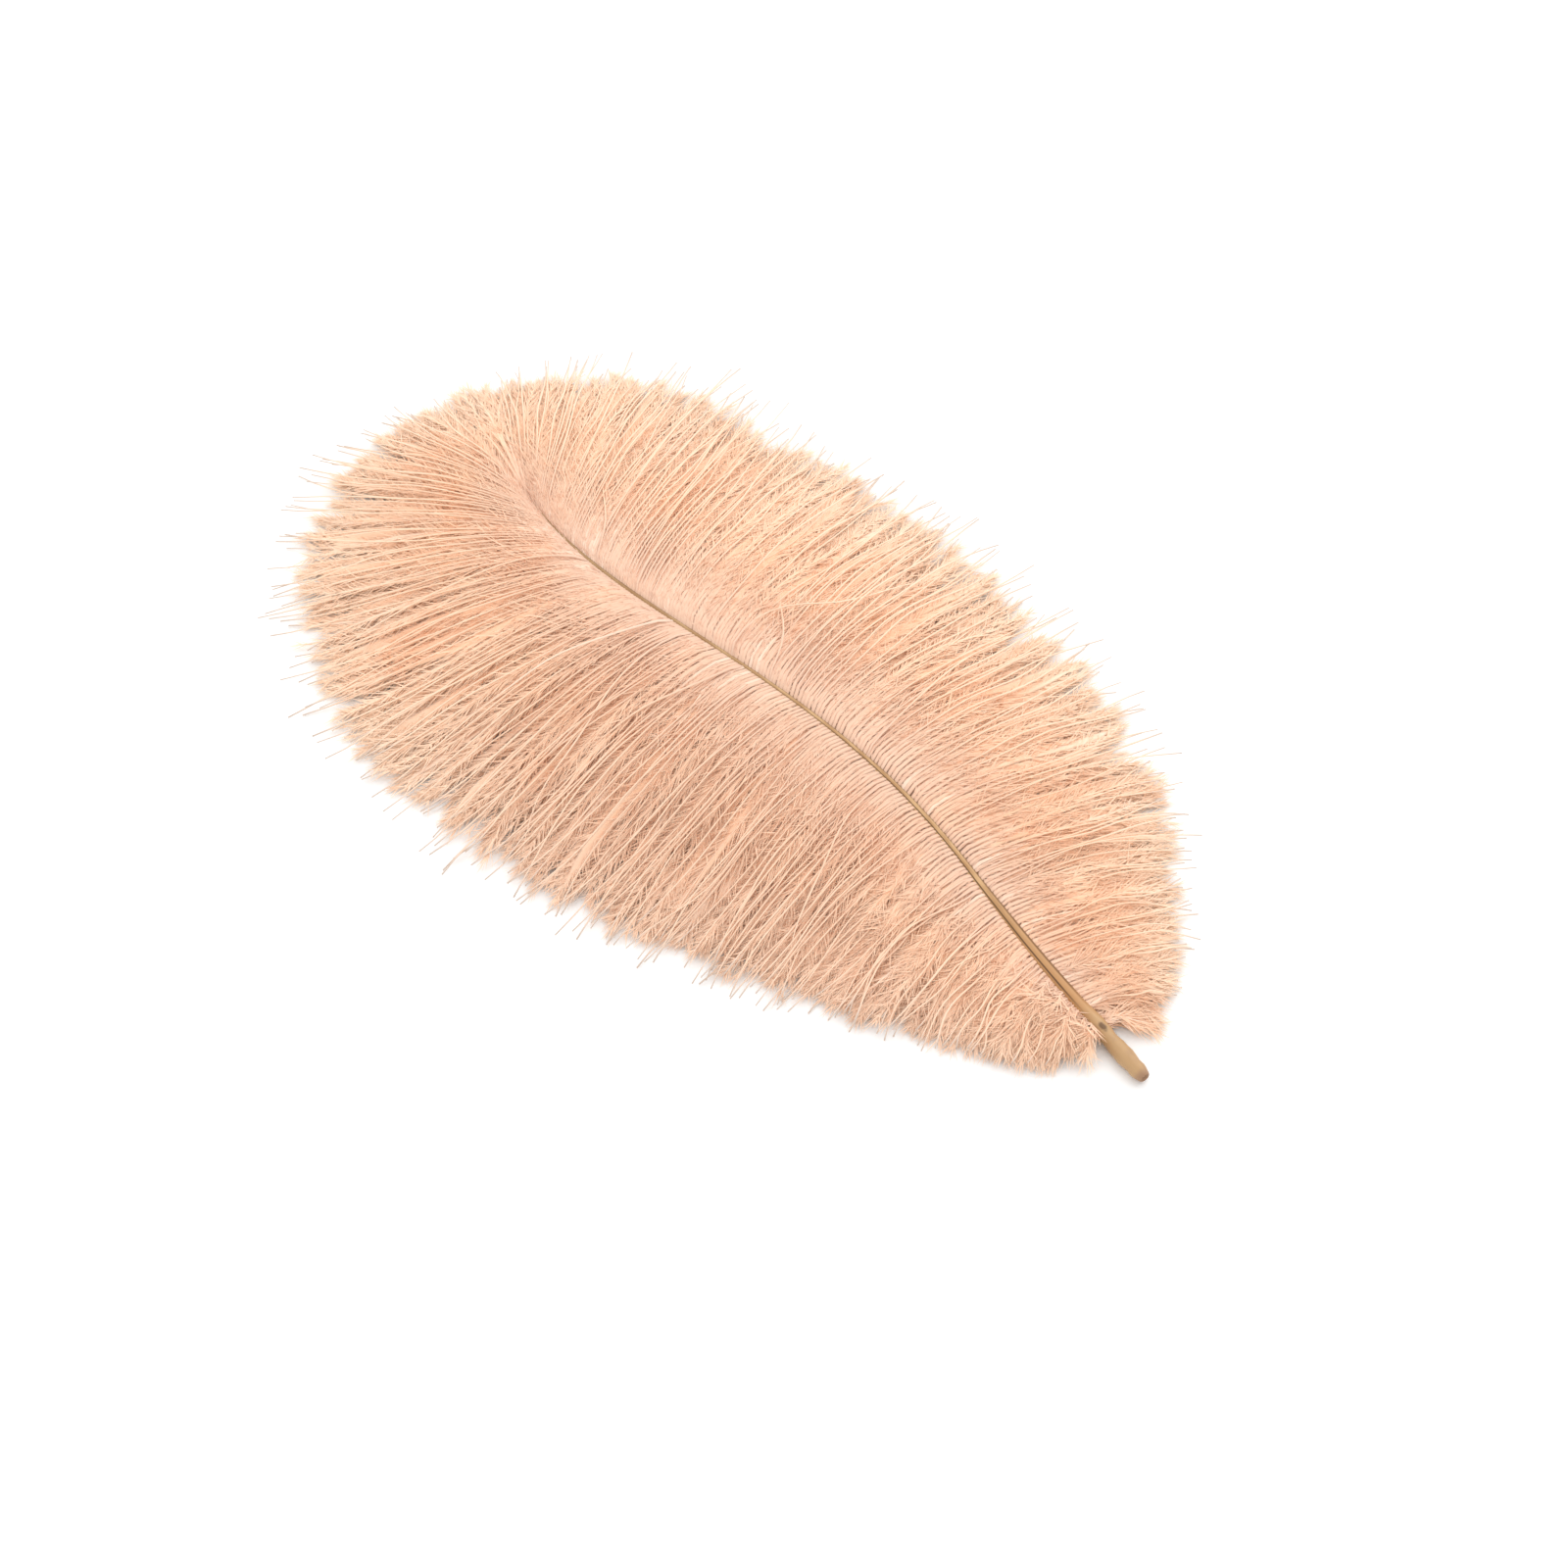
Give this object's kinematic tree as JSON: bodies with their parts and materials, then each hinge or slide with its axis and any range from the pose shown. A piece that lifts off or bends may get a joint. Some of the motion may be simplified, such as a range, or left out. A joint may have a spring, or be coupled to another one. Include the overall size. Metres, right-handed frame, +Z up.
{
  "type": "ostrich feather",
  "caption": "Fluffy dyed plume that lies hollow side down: a curved tapering quill with a short bare end and two wide vanes of long soft barbs gathered in clumps, for craft, costume and display",
  "frame": {"origin": "the middle of the flat underside of the bare end of the quill, on the surface that the feather lies on", "axes": "+X runs from the quill's cut end to the tip, +Y is the left vane and +Z is up, out of the feather's rounded face"},
  "size_m": [0.2053, 0.1237, 0.0163],
  "materials": {
    "barbs": "soft matte down, dyed peach",
    "quill": "smooth satin horn, tan"
  },
  "bodies": {
    "root": {"ostrich_feather": "barbs"}
  },
  "joints": []
}
